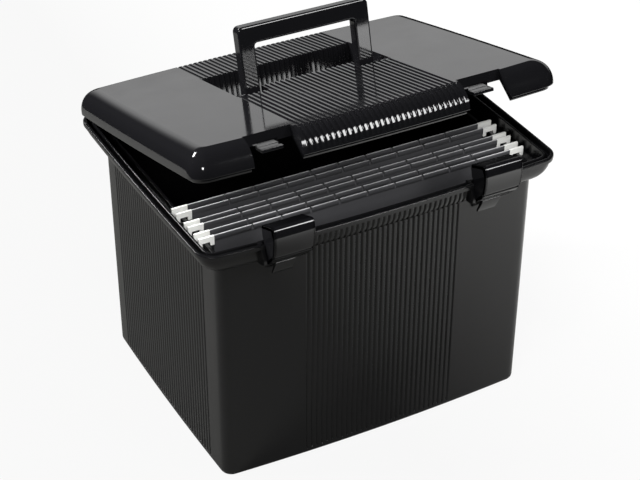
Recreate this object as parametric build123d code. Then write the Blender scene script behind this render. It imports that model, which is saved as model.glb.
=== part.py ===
from build123d import *
from math import asin, cos, pi, radians, sin, sqrt
import os

# Portable file box: a moulded tub with a flared rim, a hinged lid that stands ajar, a fold-down
# handle, two rocker latches and three hanging folders. Millimetres. The front faces -Y, +Z is up,
# and the origin is the middle of the flat base. The lid, its handle and their hinge parts are drawn
# closed and then turned open about the hinge axis.

# Wall of the tub
wall = 2.5
floor_thickness = 3.0
wall_height = 230.0
base_edge_radius = 4.0
base_width = 316.0
base_depth = 254.5
wall_draft = 1.25
wall_top_width = base_width + 2 * wall_draft
wall_top_depth = base_depth + 2 * wall_draft
wall_side_bow = 2.0
wall_front_bow = 5.0
wall_corner = 11.0

# Flared rim of the tub
flare_height = 18.0
flare_chords = 4
rim_height = 252.4
flare_side_reach = 18.55
flare_front_reach = 12.8
rim_width = wall_top_width + 2 * flare_side_reach
rim_depth = wall_top_depth + 2 * flare_front_reach
rim_side_bow = 1.5
rim_front_bow = 6.5
rim_corner = 17.0
lip_overhang = 2.5
lip_thickness = 3.2
seal_groove = 4.4
seal_ridge = 2.0
seal_ridge_drop = 1.5

# Moulded ribs, the same on the tub and the lid
rib_pitch = 5.17
rib_groove = 2.6
rib_depth = 1.2
band_width = 155.0
rib_foot = 6.0
side_ribs_front = 94.0
side_ribs_back = 99.0
side_ribs_top_gap = 3.0

# Rails inside the two end walls, for the folders
rail_reach = 4.8
rail_thickness = 3.0
rail_top = 241.0
rail_height = 19.0
rail_length = 224.0

# Lid
seat_gap = 0.2
lid_height = 22.4
skirt_height = 2.5
side_roll = 18.0
front_roll = 16.0
top_corner = 6.0
roll_chords = 3
lid_flange = 6.4
tongue_gap = 1.2
tongue_thickness = 2.0
tongue_depth = 4.0
tongue_lug_gap = 0.5
band_foot = 1.4

# Hand pit in the lid
pit_width = 155.0
pit_front = -12.5
pit_back = 70.0
pit_depth = 18.0
tongue_top_width = 92.0
tongue_top_back = 4.9

# Handle
handle_width = 130.0
arm_width = 15.0
arm_depth = 12.0
bar_height = 16.5
handle_rise = 57.0
handle_pivot_drop = 8.0
handle_pivot_y = 3.2
grip_outer_radius = 5.0
grip_inner_radius = 3.0
grip_edge_radius = 1.8
peg_radius = 4.0
peg_length = 5.0
peg_boss_wall = 3.0
running_gap = 0.05

# Latches
latch_centre = 102.0
latch_width = 38.0
latch_side_gap = 0.5
latch_pivot_y = -138.5
latch_pivot_z = 238.0
latch_bar_radius = 2.5
latch_barrel_wall = 2.1
latch_skin = 2.8
latch_cheek = 2.4
latch_lug = 3.0
latch_snap_slot = 4.2
latch_closing = 12.0
tab_width = 19.0
tab_thickness = 2.0
recess_back = 132.4
recess_floor = 233.0

# Notches in the lid for the latches
notch_width = 44.0
notch_back = 119.0
notch_wall_foot = 10.2
gusset_back = 106.0
catch_width = 20.0
catch_front = 128.5
catch_thickness = 3.0
catch_gap = 0.35

# Hinge behind the rim
hinge_y = 146.0
hinge_z = 249.0
hinge_radius = 4.3
hinge_centre = 100.0
lid_knuckle_width = 22.0
tub_knuckle_width = 8.0
knuckle_gap = 0.3
pin_radius = 1.6
pin_head_radius = 3.0
pin_head = 1.4
lug_crest_reach = 2.0
lug_root = ((-3.2, -13.5), (-4.7, -11.5))
knuckle_lift = 0.4
knuckle_root = (-2.1, -3.3)
knuckle_root_height = 10.5
knuckle_front_reach = 0.4
rest_open_angle = 14.2

# Hanging folders: each has a back and a front rod, given here from the back of the box to the front
folder_rods = ((-42.9, -52.0), (-68.0, -75.5), (-87.6, -96.4))
paper = 0.6
sleeve_side_gap = 11.45
sleeve_width = wall_top_width - 2 * sleeve_side_gap
sleeve_bottom = 8.7
sleeve_fold = 2.4
rod_thickness = 1.0
rod_height = 4.0
rod_end_gap = 2.0
hook_thickness = 2.0
hook_overhang = 3.25
hook_width = 14.5
hook_outer = wall_top_width / 2 + hook_overhang
hook_inner = hook_outer - hook_width
hook_foot = 3.4
hook_height = 8.9
hook_rail_gap = 0.3
hook_bridge = 5.1

os.makedirs("parts", exist_ok=True)


class Outline:
    # A rounded rectangle whose four sides bow outward. Width and depth are taken at mid side.
    def __init__(self, width, depth, side_bow, front_bow, corner):
        self.values = (width, depth, side_bow, front_bow, corner)

    def inset(self, distance):
        width, depth, side_bow, front_bow, corner = self.values
        return Outline(width - 2 * distance, depth - 2 * distance, side_bow, front_bow, corner - distance)

    def blend(self, other, share):
        return Outline(*(a + (b - a) * share for a, b in zip(self.values, other.values)))

    def face(self, height):
        width, depth, side_bow, front_bow, corner = self.values
        x = width / 2 - side_bow
        y = depth / 2 - front_bow
        right = ThreePointArc((x, -y), (width / 2, 0), (x, y))
        back = ThreePointArc((x, y), (0, depth / 2), (-x, y))
        left = ThreePointArc((-x, y), (-width / 2, 0), (-x, -y))
        front = ThreePointArc((-x, -y), (0, -depth / 2), (x, -y))
        flat = make_face([right, back, left, front])
        return Pos(0, 0, height) * fillet(flat.vertices(), corner)

    def prism(self, low, high):
        return extrude(self.face(low), high - low)

    def front_at(self, x):
        width, depth, side_bow, front_bow, corner = self.values
        return depth / 2 - bow_drop(x, width / 2 - side_bow, front_bow)

    def side_at(self, y):
        width, depth, side_bow, front_bow, corner = self.values
        return width / 2 - bow_drop(y, depth / 2 - front_bow, side_bow)


def bow_drop(distance, half_chord, bow):
    radius = (half_chord**2 + bow**2) / (2 * bow)
    return radius - sqrt(radius**2 - distance**2)


def across(points_yz, x_low, x_high):
    # A prism along X with a straight-sided section in the YZ plane.
    section = make_face(Polyline(*[(x_low, y, z) for y, z in points_yz], close=True))
    return extrude(section, x_high - x_low, dir=(1, 0, 0))


def rod_along_x(x_low, x_high, y, z, radius):
    disc = Plane(origin=(x_low, y, z), z_dir=(1, 0, 0)) * Circle(radius)
    return extrude(disc, x_high - x_low)


def block(x_low, x_high, y_low, y_high, z_low, z_high):
    size = Box(x_high - x_low, y_high - y_low, z_high - z_low, align=(Align.MIN, Align.MIN, Align.MIN))
    return Pos(x_low, y_low, z_low) * size


def mirrored_pair(shape):
    return [shape, mirror(shape, about=Plane.YZ)]


def opened(shape):
    return shape.rotate(Axis((0, hinge_y, hinge_z), (1, 0, 0)), -rest_open_angle)


def save(name, shape):
    export_step(shape, f"parts/{name}.step")


base_outline = Outline(base_width, base_depth, wall_side_bow, wall_front_bow, wall_corner)
wall_outline = Outline(wall_top_width, wall_top_depth, wall_side_bow, wall_front_bow, wall_corner)
rim_outline = Outline(rim_width, rim_depth, rim_side_bow, rim_front_bow, rim_corner)
flare_outline = rim_outline.inset(lip_overhang)
flare_top = wall_height + flare_height
lid_bottom = rim_height + seat_gap
lid_top = lid_bottom + lid_height
band_half = band_width / 2


def bowl(start, end, low, rise, steps=6):
    # A quarter-ellipse flare: level where it leaves the wall, upright at the top.
    turns = [pi / 2 * i / steps for i in range(steps + 1)]
    return loft([start.blend(end, sin(t)).face(low + rise * (1 - cos(t))) for t in turns])


def rib_places(low, high):
    count = round((high - low) / rib_pitch)
    pitch = (high - low) / count
    return [low + pitch * (i + 0.5) for i in range(count)]


def tub_front_groove(x):
    bottom = base_outline.blend(wall_outline, rib_foot / wall_height).front_at(x)
    top = wall_outline.front_at(x)
    lip = flare_outline.front_at(x)
    clear = lip + wall
    points = [(-clear, rib_foot), (rib_depth - bottom, rib_foot)]
    for i in range(flare_chords + 1):
        t = pi / 2 * i / flare_chords
        y = top - rib_depth + (lip - top) * sin(t)
        z = wall_height + rib_depth + (flare_height - rib_depth) * (1 - cos(t))
        points.append((-y, z))
    points.append((-clear, flare_top))
    return across(points, x - rib_groove / 2, x + rib_groove / 2)


def tub_side_groove(y):
    low = base_outline.blend(wall_outline, rib_foot / wall_height).side_at(y) - rib_depth
    high_z = wall_height - side_ribs_top_gap
    high = base_outline.blend(wall_outline, high_z / wall_height).side_at(y) - rib_depth
    reach = high + 2 * wall
    front = y - rib_groove / 2
    corners = ((low, rib_foot), (reach, rib_foot), (reach, high_z), (high, high_z))
    section = make_face(Polyline(*[(x, front, z) for x, z in corners], close=True))
    return extrude(section, rib_groove, dir=(0, 1, 0))


def tub_rail():
    inner = wall_top_width / 2 - rail_reach
    outer = inner + rail_thickness
    foot = rail_top - rail_height
    corners = ((inner, rail_top), (outer, rail_top), (outer, foot - rail_thickness / 2),
               (inner, foot + rail_thickness / 2))
    section = make_face(Polyline(*[(x, -rail_length / 2, z) for x, z in corners], close=True))
    return extrude(section, rail_length, dir=(0, 1, 0))


def latch_recess():
    # Room behind one latch in the flared rim, with the walls that close it and hold the latch bar.
    inner = latch_centre - latch_width / 2 - latch_side_gap
    outer = latch_centre + latch_width / 2 + latch_side_gap
    room = block(inner, outer, -rim_depth, -recess_back, recess_floor, rim_height + wall)
    back_wall = block(inner - latch_lug, outer + latch_lug, -recess_back, wall - recess_back,
                      recess_floor - wall / 2, rim_height)
    eye = latch_bar_radius + latch_barrel_wall
    rim_face = rim_outline.front_at(latch_centre)
    lug = [(-recess_back + wall, rim_height), (-rim_face, rim_height), (-rim_face, flare_top),
           (latch_pivot_y - eye, latch_pivot_z + eye / 2), (latch_pivot_y - eye, latch_pivot_z - eye / 2),
           (latch_pivot_y, latch_pivot_z - eye), (-recess_back + wall, recess_floor - wall / 2)]
    lugs = [across(lug, inner - latch_lug, inner), across(lug, outer, outer + latch_lug)]
    bar = rod_along_x(inner - latch_lug / 2, outer + latch_lug / 2, latch_pivot_y, latch_pivot_z, latch_bar_radius)
    return room, [back_wall, bar] + lugs


def tub_hinge_lugs():
    # Two lugs, one on each side of the lid's knuckle, reaching back from the flare to the pin.
    r = hinge_radius
    back = rim_outline.front_at(hinge_centre)
    root = [(back + dy, hinge_z + dz) for dy, dz in lug_root]
    arm = [(back - wall, rim_height - seat_gap), (back + lug_crest_reach, rim_height - seat_gap),
           (hinge_y - 0.2 * r, hinge_z + 0.98 * r), (hinge_y + 0.7 * r, hinge_z - 0.7 * r), *root]
    lugs = []
    half = lid_knuckle_width / 2 + knuckle_gap
    for low in (hinge_centre - half - tub_knuckle_width, hinge_centre + half):
        high = low + tub_knuckle_width
        lug = across(arm, low, high) + rod_along_x(low, high, hinge_y, hinge_z, r)
        lugs.append(lug - rod_along_x(low, high, hinge_y, hinge_z, pin_radius + running_gap))
    return lugs


def tub():
    outer = loft([base_outline.face(0), wall_outline.face(wall_height)], ruled=True)
    outer = fillet(outer.edges().group_by(Axis.Z)[0], base_edge_radius)
    upper = bowl(wall_outline, flare_outline, wall_height, flare_height)
    upper = upper + rim_outline.prism(flare_top, rim_height)
    body = outer + upper
    cavity = loft([base_outline.inset(wall).face(floor_thickness),
                   wall_outline.inset(wall).face(wall_height + wall)], ruled=True)
    trough = bowl(wall_outline.inset(wall), flare_outline.inset(wall), wall_height + wall, flare_height - wall)
    mouth = rim_outline.inset(lip_thickness).prism(flare_top, rim_height + wall)
    body = body - cavity - trough - mouth
    ridge_outside = rim_outline.inset(lip_thickness + seal_groove)
    ridge_top = rim_height - seal_ridge_drop
    ridge = ridge_outside.prism(wall_height, ridge_top)
    ridge = ridge - ridge_outside.inset(seal_ridge).prism(wall_height, ridge_top)
    body = body + (ridge & upper)
    for rail in mirrored_pair(tub_rail()):
        body = body + rail
    room, walls = latch_recess()
    for cut in mirrored_pair(room):
        body = body - cut
    for piece in walls:
        body = body + mirrored_pair(piece)
    for lug in tub_hinge_lugs():
        body = body + mirrored_pair(lug)
    grooves = []
    for x in rib_places(-band_half, band_half):
        groove = tub_front_groove(x)
        grooves += [groove, mirror(groove, about=Plane.XZ)]
    for y in rib_places(-side_ribs_front, side_ribs_back):
        grooves += mirrored_pair(tub_side_groove(y))
    return body - grooves


def lid_section(share, inset):
    # One level of the rolled lid: share runs from 0 at the top of the skirt to 1 at the flat top.
    rise = lid_height - skirt_height
    roll_radius = (front_roll**2 + rise**2) / (2 * front_roll)
    front_in = roll_radius - sqrt(roll_radius**2 - (rise * share)**2)
    side_in = side_roll * (1 - sqrt(1 - share**2))
    corner = rim_corner - (rim_corner - top_corner) * share**2 - inset
    outline = Outline(rim_width - 2 * (side_in + inset), rim_depth - 2 * (front_in + inset),
                      rim_side_bow, rim_front_bow, corner)
    return outline.face(lid_bottom + skirt_height + (rise - inset) * share)


def rolled_lid(inset, steps=8):
    return loft([lid_section(sin(pi / 2 * i / steps), inset) for i in range(steps + 1)])


def lid_groove(x):
    # One groove of the band: over the flat top, down both rolls, to just above the bottom edge.
    rise = lid_height - skirt_height
    radius = (front_roll**2 + rise**2) / (2 * front_roll)
    face = rim_outline.front_at(x)
    centre = face - radius
    z = lid_bottom + skirt_height
    inner = radius - rib_depth
    top = lid_top - rib_depth
    turn = asin((top - z) / inner)
    foot = lid_bottom + band_foot
    reach = face + wall
    # The groove's floor follows the roll in short chords, one rib depth inside it.
    half = [(centre + inner, foot)]
    for i in range(roll_chords + 1):
        angle = turn * i / roll_chords
        half.append((centre + inner * cos(angle), z + inner * sin(angle)))
    outside = [(-reach, foot), (-reach, lid_top + wall), (reach, lid_top + wall), (reach, foot)]
    corners = half + [(-y, h) for y, h in reversed(half)] + outside
    return across(corners, x - rib_groove / 2, x + rib_groove / 2)


def pit_space(grow, depth):
    # The hand pit: a wide pit with two pockets either side of a tongue that stays level with the top.
    half = pit_width / 2 + grow
    tongue = tongue_top_width / 2 - grow
    bottom = lid_top - depth
    high = lid_top + (wall if grow == 0 else -wall / 2)
    main = block(-half, half, tongue_top_back - grow, pit_back + grow, bottom, high)
    pockets = [block(-half, -tongue, pit_front - grow, tongue_top_back, bottom, high),
               block(tongue, half, pit_front - grow, tongue_top_back, bottom, high)]
    return main + pockets


def lid_notch(outer):
    # The cut for one latch through the front roll, and the walls and catch that go into it.
    low = latch_centre - notch_width / 2
    high = latch_centre + notch_width / 2
    room = block(low, high, -rim_depth, -notch_back, lid_bottom - tongue_depth - wall, lid_top + wall)
    back_wall = block(low - wall, high + wall, -notch_back, wall - notch_back, lid_top - notch_wall_foot, lid_top)
    gusset = [(-rim_depth, lid_top), (-gusset_back, lid_top), (-gusset_back, lid_top - 2 * wall),
              (-rim_depth / 2 + lid_flange, lid_bottom), (-rim_depth, lid_bottom)]
    walls = [back_wall, across(gusset, low - wall, low), across(gusset, high, high + wall)]
    catch_top = latch_point_closed(*hook_underside)[1] - catch_gap
    catch_low = latch_centre - catch_width / 2
    catch_high = latch_centre + catch_width / 2
    shelf = [(-catch_front, catch_top), (-catch_front, catch_top - catch_thickness),
             (wall - notch_back, catch_top - catch_thickness),
             (wall - notch_back, lid_top - notch_wall_foot + wall),
             (-notch_back, lid_top - notch_wall_foot + wall), (-notch_back, catch_top)]
    return room, [piece & outer for piece in walls] + [across(shelf, catch_low, catch_high)]


def lid_knuckle():
    r = hinge_radius
    back = rim_outline.front_at(hinge_centre)
    foot = lid_bottom + knuckle_lift
    low_root, high_root = knuckle_root
    arm = [(back + low_root, foot), (back + high_root, foot - knuckle_lift + knuckle_root_height),
           (hinge_y + 0.7 * r, hinge_z + 0.7 * r), (hinge_y, hinge_z), (hinge_y - 0.95 * r, hinge_z - 0.25 * r),
           (back + knuckle_front_reach, foot)]
    low = hinge_centre - lid_knuckle_width / 2
    high = hinge_centre + lid_knuckle_width / 2
    knuckle = across(arm, low, high) + rod_along_x(low, high, hinge_y, hinge_z, r)
    return knuckle, rod_along_x(low, high, hinge_y, hinge_z, pin_radius + running_gap)


def peg_place():
    return handle_pivot_y, lid_top - handle_pivot_drop


def seal_tongue():
    # The ring under the lid that drops into the seal groove, cut away around the tub's latch lugs.
    outside = rim_outline.inset(lip_thickness + tongue_gap)
    low = lid_bottom - tongue_depth
    tongue = outside.prism(low, lid_bottom + skirt_height / 2)
    tongue = tongue - outside.inset(tongue_thickness).prism(low, lid_bottom + skirt_height)
    lug_reach = latch_width / 2 + latch_side_gap + latch_lug + tongue_lug_gap
    relief = block(latch_centre - lug_reach, latch_centre + lug_reach, -rim_depth, -notch_back,
                   low - wall, lid_bottom)
    return tongue - mirrored_pair(relief)


def lid():
    outer = rim_outline.prism(lid_bottom, lid_bottom + skirt_height) + rolled_lid(0)
    hollow = rim_outline.inset(lid_flange).prism(lid_bottom, lid_bottom + skirt_height + 0.01)
    body = outer - rolled_lid(wall) - hollow
    body = body + seal_tongue()
    y, z = peg_place()
    half = pit_width / 2
    boss = rod_along_x(half + wall / 2, half + peg_length + wall / 2, y, z, peg_radius + peg_boss_wall)
    body = body + pit_space(wall, pit_depth + wall) + mirrored_pair(boss)
    body = body - [lid_groove(x) for x in rib_places(-band_half, band_half)]
    body = body - pit_space(0, pit_depth)
    hole = rod_along_x(half - wall, half + peg_length, y, z, peg_radius + running_gap)
    body = body - mirrored_pair(hole)
    room, pieces = lid_notch(outer)
    body = body - mirrored_pair(room)
    knuckle, bore = lid_knuckle()
    for piece in pieces + [knuckle]:
        for side in mirrored_pair(piece):
            body = body + side
    return opened(body - mirrored_pair(bore))


def handle():
    y, z = peg_place()
    half = handle_width / 2
    inner = half - arm_width
    top = lid_top + handle_rise
    low = z - arm_depth / 2
    front = y - arm_depth / 2
    outside = Plane.XZ * Pos(0, (top + low) / 2) * Rectangle(handle_width, top - low)
    outside = fillet(outside.vertices().group_by(Axis.Z)[-1], grip_outer_radius)
    gap = Plane.XZ * Pos(0, (top - bar_height + low) / 2) * Rectangle(2 * inner, top - bar_height - low)
    gap = fillet(gap.vertices().group_by(Axis.Z)[-1], grip_inner_radius)
    frame = Pos(0, front, 0) * extrude(outside - gap, arm_depth, dir=(0, 1, 0))
    long_edges = frame.edges().filter_by(lambda edge: abs(edge.center().Y - y) > arm_depth / 3)
    long_edges = long_edges.filter_by(lambda edge: edge.center().Z > low + 1)
    frame = fillet(long_edges, grip_edge_radius)
    arm = block(-half, half, front, front + arm_depth, z, top)
    frame = frame & (arm + rod_along_x(-half, half, y, z, arm_depth / 2))
    peg_end = pit_width / 2 + peg_length - knuckle_gap
    peg = rod_along_x(half - arm_width / 2, peg_end, y, z, peg_radius)
    for piece in mirrored_pair(peg):
        frame = frame + piece
    return opened(frame)


# The latch's section in the YZ plane, leaning open: its hook, front plate, lower lip and barrel.
hook_edge = (-132.0, 268.5)
hook_underside = (-132.0, 265.0)
latch_crest = (-150.6, 276.2)
latch_front = ((-153.0, 275.6), (-154.7, 272.8), (-156.0, 265.7), (-155.8, 257.4), (-154.4, 249.4))
latch_step = ((-152.2, 248.4), (-152.2, 247.0))
latch_lower = ((-152.6, 246.0), (-151.5, 244.0), (-137.0, 230.0))
tab_end = (-130.0, 217.0)
latch_cheek_edge = ((-134.4, 243.0), (-136.4, 253.6), (-133.6, 257.6))
latch_lip_skin = 1.6
latch_crest_skin = (1.2, 4.2)
barrel_corner = 0.6
barrel_overlap = 0.3


def latch_point_closed(y, z):
    turn = radians(-latch_closing)
    dy = y - latch_pivot_y
    dz = z - latch_pivot_z
    return latch_pivot_y + dy * cos(turn) - dz * sin(turn), latch_pivot_z + dy * sin(turn) + dz * cos(turn)


def latch():
    low = latch_centre - latch_width / 2
    high = latch_centre + latch_width / 2
    barrel = latch_bar_radius + running_gap + latch_barrel_wall
    lip_step, lip_fold, lip_end = latch_lower
    skin_inside = [(lip_end[0] + latch_lip_skin, lip_end[1] + latch_lip_skin),
                   (lip_fold[0] + latch_skin + barrel_corner, lip_fold[1] + latch_lip_skin)]
    skin_inside += [(y + latch_skin, z) for y, z in reversed(latch_front[2:])]
    skin_inside += [(latch_crest[0] + latch_crest_skin[0], latch_crest[1] - latch_crest_skin[1])]
    skin = [hook_edge, latch_crest, *latch_front, *latch_step, *latch_lower, *skin_inside, hook_underside]
    body = across(skin, low, high)
    back_low = (latch_pivot_y + barrel - barrel_corner, latch_pivot_z - barrel + barrel_corner)
    back_high = (latch_pivot_y + barrel + barrel_overlap, latch_pivot_z)
    cheek = [hook_edge, latch_crest, *latch_front, *latch_step, *latch_lower, back_low, back_high,
             *latch_cheek_edge, hook_underside]
    body = body + across(cheek, low, low + latch_cheek) + across(cheek, high - latch_cheek, high)
    body = body + rod_along_x(low, high, latch_pivot_y, latch_pivot_z, barrel)
    # The finger tab hangs from the middle of the lower lip.
    top_y, top_z = lip_end
    tab = [(top_y - tab_thickness, top_z + tab_thickness), (top_y + 1, top_z + 1.4), tab_end,
           (tab_end[0] - tab_thickness, tab_end[1] - 0.4), (top_y - tab_thickness, top_z - 0.6)]
    body = body + across(tab, latch_centre - tab_width / 2, latch_centre + tab_width / 2)
    bore = latch_bar_radius + running_gap
    body = body - rod_along_x(low - wall, high + wall, latch_pivot_y, latch_pivot_z, bore)
    # The barrel is open at the back, so that it snaps over its bar.
    slot = block(low - wall, high + wall, latch_pivot_y + running_gap, latch_pivot_y + 2 * barrel,
                 latch_pivot_z - latch_snap_slot / 2, latch_pivot_z + latch_snap_slot / 2)
    return body - slot


def hinge_pin():
    half = lid_knuckle_width / 2 + knuckle_gap + tub_knuckle_width
    pin = rod_along_x(hinge_centre - half, hinge_centre + half + knuckle_gap, hinge_y, hinge_z, pin_radius)
    head_start = hinge_centre + half + knuckle_gap
    return pin + rod_along_x(head_start, head_start + pin_head, hinge_y, hinge_z, pin_head_radius)


hook_bridge_foot = rail_top + hook_rail_gap
rod_foot = hook_bridge_foot + (hook_bridge - rod_height) / 2
hem_foot = rod_foot - paper
hem_top = rod_foot + rod_height + paper


def folder_rod(y):
    end = hook_outer - rod_end_gap
    return block(-end, end, y - rod_thickness / 2, y + rod_thickness / 2, rod_foot, rod_foot + rod_height)


def folder_hooks(y):
    # A tip on each end of the rod: a bridge with two feet that straddle the rail.
    front = y - hook_thickness / 2
    back = y + hook_thickness / 2
    top = hook_bridge_foot + hook_bridge
    tip = block(hook_inner, hook_outer, front, back, top - hook_height, top)
    gap = block(hook_inner + hook_foot, hook_outer - hook_foot, front, back, top - hook_height, hook_bridge_foot)
    tip = tip - gap - folder_rod(y)
    return Compound(children=mirrored_pair(tip))


def folder_sleeve(back_rod, front_rod):
    middle = (back_rod + front_rod) / 2
    fold = sleeve_fold / 2
    half = sleeve_width / 2
    outer = [(back_rod + paper / 2, hem_foot + paper / 2), (middle + fold, sleeve_bottom),
             (middle - fold, sleeve_bottom), (front_rod - paper / 2, hem_foot + paper / 2),
             (front_rod + paper / 2, hem_foot + paper / 2), (middle - fold + paper, sleeve_bottom + paper),
             (middle + fold - paper, sleeve_bottom + paper), (back_rod - paper / 2, hem_foot + paper / 2)]
    sleeve = across(outer, -half, half)
    hem = rod_thickness / 2 + paper
    for y in (back_rod, front_rod):
        sleeve = sleeve + block(-half, half, y - hem, y + hem, hem_foot, hem_top)
    for y in (back_rod, front_rod):
        sleeve = sleeve - folder_rod(y)
    return sleeve


save("tub", tub())
save("lid", lid())
save("handle", handle())
right_latch = latch()
save("latch_right", right_latch)
save("latch_left", mirror(right_latch, about=Plane.YZ))
right_pin = hinge_pin()
save("hinge_pin_right", right_pin)
save("hinge_pin_left", mirror(right_pin, about=Plane.YZ))
for number, (back_rod, front_rod) in enumerate(folder_rods, start=1):
    save(f"folder_{number}_sleeve", folder_sleeve(back_rod, front_rod))
    for side, y in (("back", back_rod), ("front", front_rod)):
        save(f"folder_{number}_{side}_rod", folder_rod(y))
        save(f"folder_{number}_{side}_hooks", folder_hooks(y))
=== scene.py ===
# Portable file box: a ribbed tub, a rolled lid with a folding handle, two rocker latches
# and three hanging folders on the tub's rails. Metres in Blender; sizes below are in millimetres.
import math

import bpy
import numpy as np
from mathutils import Matrix, Vector


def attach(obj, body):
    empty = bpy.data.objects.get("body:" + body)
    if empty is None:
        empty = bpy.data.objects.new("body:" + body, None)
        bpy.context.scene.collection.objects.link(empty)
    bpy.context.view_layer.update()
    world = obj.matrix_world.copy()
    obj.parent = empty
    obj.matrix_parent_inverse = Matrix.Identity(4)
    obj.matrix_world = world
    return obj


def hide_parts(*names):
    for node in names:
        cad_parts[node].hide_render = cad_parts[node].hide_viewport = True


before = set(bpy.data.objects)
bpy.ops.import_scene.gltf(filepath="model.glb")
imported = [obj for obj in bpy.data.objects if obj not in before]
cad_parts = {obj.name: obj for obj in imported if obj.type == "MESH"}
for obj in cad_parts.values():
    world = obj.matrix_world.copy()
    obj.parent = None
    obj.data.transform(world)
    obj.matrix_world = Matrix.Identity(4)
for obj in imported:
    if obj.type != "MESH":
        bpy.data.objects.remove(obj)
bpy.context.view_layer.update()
print("frame loaded:", len(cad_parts), "nodes")


def toLinear(hexText):
    # sRGB hex to a linear colour
    value = np.array([int(hexText[i:i + 2], 16) / 255 for i in (1, 3, 5)])
    linear = np.where(value <= 0.04045, value / 12.92, ((value + 0.055) / 1.055) ** 2.4)
    return (*linear.tolist(), 1.0)


def addNode(tree, kind, settings=None, links=None):
    # settings name sockets (or their numbers) or the node's own fields; links give sockets their source
    node = tree.nodes.new(kind)
    for key, value in (settings or {}).items():
        if isinstance(key, int) or key in node.inputs:
            node.inputs[key].default_value = value
        else:
            setattr(node, key, value)
    for key, source in (links or {}).items():
        tree.links.new(source, node.inputs[key])
    return node


def newTree(material):
    material.use_nodes = True
    material.node_tree.nodes.clear()
    return material.node_tree


def pointAt(item, target, roll=0.0):
    # turns a camera or a lamp so that it looks at a place
    towards = target - item.location
    turn = towards.to_track_quat("-Z", "Y").to_matrix().to_4x4()
    item.rotation_euler = (turn @ Matrix.Rotation(roll, 4, "Z")).to_euler()


cameraView = {
    "azimuth": -28.35,      # degrees to the left of straight in front
    "elevation": 33.73,
    "distance": 1664.44,    # from the aim
    "aim": (0, 0, 140),
    "focal": 1761.79,       # in pixels of the picture
    "pictureWide": 640,     # pixels
    "sensorWide": 36,       # mm
    "centreShift": (5.43, -1.83),
    "roll": 0.15,
}


def makeCamera(view):
    data = bpy.data.cameras.new("viewCamera")
    wide = view["pictureWide"]
    data.sensor_width = view["sensorWide"]
    data.lens = view["focal"] * view["sensorWide"] / wide
    data.shift_x = view["centreShift"][0] / wide
    data.shift_y = view["centreShift"][1] / wide
    camera = bpy.data.objects.new("viewCamera", data)
    bpy.context.collection.objects.link(camera)
    azimuth, elevation = math.radians(view["azimuth"]), math.radians(view["elevation"])
    aim = Vector(view["aim"]) / 1000
    direction = Vector((math.sin(azimuth) * math.cos(elevation),
                        -math.cos(azimuth) * math.cos(elevation),
                        math.sin(elevation)))
    camera.location = aim + direction * view["distance"] / 1000
    pointAt(camera, aim, math.radians(view["roll"]))
    bpy.context.scene.camera = camera


bpy.context.scene.view_settings.view_transform = "Standard"
makeCamera(cameraView)
print("camera placed")


studio = {
    # Gloss sees a pale band behind the object, just over the horizon: its brightness and that of the
    # rest, and the parts of the ray's direction between which the band comes in or goes out.
    "skyHorizon": 0.85, "skyTop": 0.012,
    "skyFadeFrom": 0.17, "skyFadeTo": 0.34, "skyFrom": -0.03, "skyTo": 0.04,
    "leftDark": -0.15, "leftBright": 0.2, "frontDark": 0.1, "frontBright": 0.5,
    "ambient": 0.16,
    # The floor's two paint tones, dark and pale, are painted shade and painted light on the floor, seen in
    # reflections and bounced light.
    "floorShadeColour": "#585856", "floorLightColour": "#e2e2e0", "floorGlow": 0.92, "floorRadius": 950,
    "floorSides": 96,
    "floorLightFade": (20, 440),                  # mm from left to right over which the floor's paint turns paler: painted light, so that reflections of the floor brighten towards the right
}

# name, place, aim, width, height (all mm), power in watts, and whether gloss sees it
softboxes = [
    ("keySoftbox", (-900, -1150, 1250), (0, 0, 220), 240, 240, 6, True),
    ("frontSoftbox", (720, -1330, 1272), (0, -120, 320), 480, 760, 17, True),
    ("rimLight", (-595, 1095, 1165), (-175, 0, 250), 500, 260, 12, True),
    ("overheadSoftbox", (-450, -650, 1800), (0, -60, 240), 600, 400, 34, False),
    ("rightFill", (1500, -900, 700), (350, -350, 0), 500, 500, 5, False),
    ("backFill", (-1100, 500, 900), (-380, 200, 0), 400, 400, 42, False),
]


def makeWorld(settings):
    # White where the camera looks past the object, pale at the horizon and dark overhead for gloss.
    world = bpy.data.worlds.new("studioWorld")
    bpy.context.scene.world = world
    tree = newTree(world)
    path = addNode(tree, "ShaderNodeLightPath")
    where = addNode(tree, "ShaderNodeTexCoord")
    split = addNode(tree, "ShaderNodeSeparateXYZ", {}, {0: where.outputs["Generated"]})
    fade = addNode(tree, "ShaderNodeMapRange", {
        "interpolation_type": "SMOOTHSTEP", "From Min": settings["skyFadeFrom"],
        "From Max": settings["skyFadeTo"],
        "To Min": settings["skyHorizon"], "To Max": settings["skyTop"]}, {"Value": split.outputs["Z"]})
    seen = fade
    for axis, low, high in (("X", "leftDark", "leftBright"), ("Y", "frontDark", "frontBright"),
                            ("Z", "skyFrom", "skyTo")):
        part = addNode(tree, "ShaderNodeMapRange", {
            "interpolation_type": "SMOOTHSTEP", "From Min": settings[low], "From Max": settings[high],
            "To Min": settings["skyTop"], "To Max": 1.0}, {"Value": split.outputs[axis]})
        seen = addNode(tree, "ShaderNodeMath", {"operation": "MULTIPLY"},
                       {0: seen.outputs[0], 1: part.outputs[0]})
    gloss = addNode(tree, "ShaderNodeMix", {"data_type": "FLOAT", 2: settings["ambient"]},
                    {0: path.outputs["Is Glossy Ray"], 3: seen.outputs[0]})
    strength = addNode(tree, "ShaderNodeMix", {"data_type": "FLOAT", 3: 1.0},
                       {0: path.outputs["Is Camera Ray"], 2: gloss.outputs[0]})
    background = addNode(tree, "ShaderNodeBackground", {"Color": (1, 1, 1, 1)},
                         {"Strength": strength.outputs[0]})
    addNode(tree, "ShaderNodeOutputWorld", {}, {"Surface": background.outputs[0]})


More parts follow.
